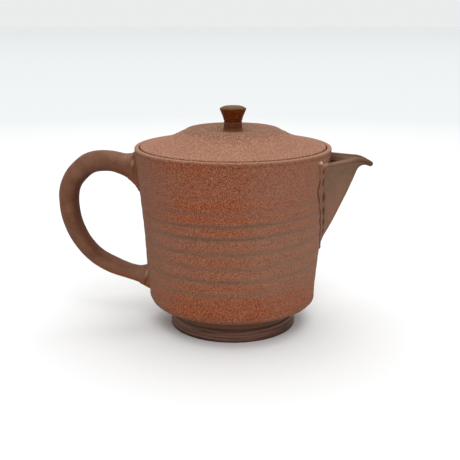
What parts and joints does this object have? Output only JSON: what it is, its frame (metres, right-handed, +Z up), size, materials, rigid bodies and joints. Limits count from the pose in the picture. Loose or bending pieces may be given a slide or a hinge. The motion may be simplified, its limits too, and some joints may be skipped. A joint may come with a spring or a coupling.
{
  "type": "unglazed teapot",
  "caption": "Unglazed red clay teapot: tapered thrown body on a dark foot ring, open V beak spout, loop side handle and a sunk lid with a flared turned knob.",
  "frame": {"origin": "centre of the bounding box in X and Y, at the table: the face the foot stands on is z = 0, and the pot's own axis is the line x = 9.52 mm, y = 0", "axes": "+Z up along the pot's axis, +X towards the spout, -X towards the handle, Y across"},
  "size_m": [0.1754, 0.1086, 0.124],
  "materials": {
    "speckled_clay": "matt unglazed, fine light grit, thrown rings",
    "plain_clay": "matt unglazed, smooth slipped clay",
    "foot_clay": "matt unglazed, turned",
    "knob_clay": "burnished, fine turned lines"
  },
  "bodies": {
    "pot": {"body": "speckled_clay", "foot_ring": "foot_clay", "strainer": "plain_clay", "spout": "plain_clay", "spout_seam": "plain_clay", "handle": "plain_clay", "handle_upper_joint": "plain_clay", "handle_lower_joint": "plain_clay"},
    "lid": {"lid": "speckled_clay", "lid_flange": "speckled_clay", "knob": "knob_clay"}
  },
  "joints": [
    {"name": "lid_lift", "type": "slide", "parent": "pot", "child": "lid", "axis": [0, 0, 1], "range_m": [0, 0.06]}
  ]
}
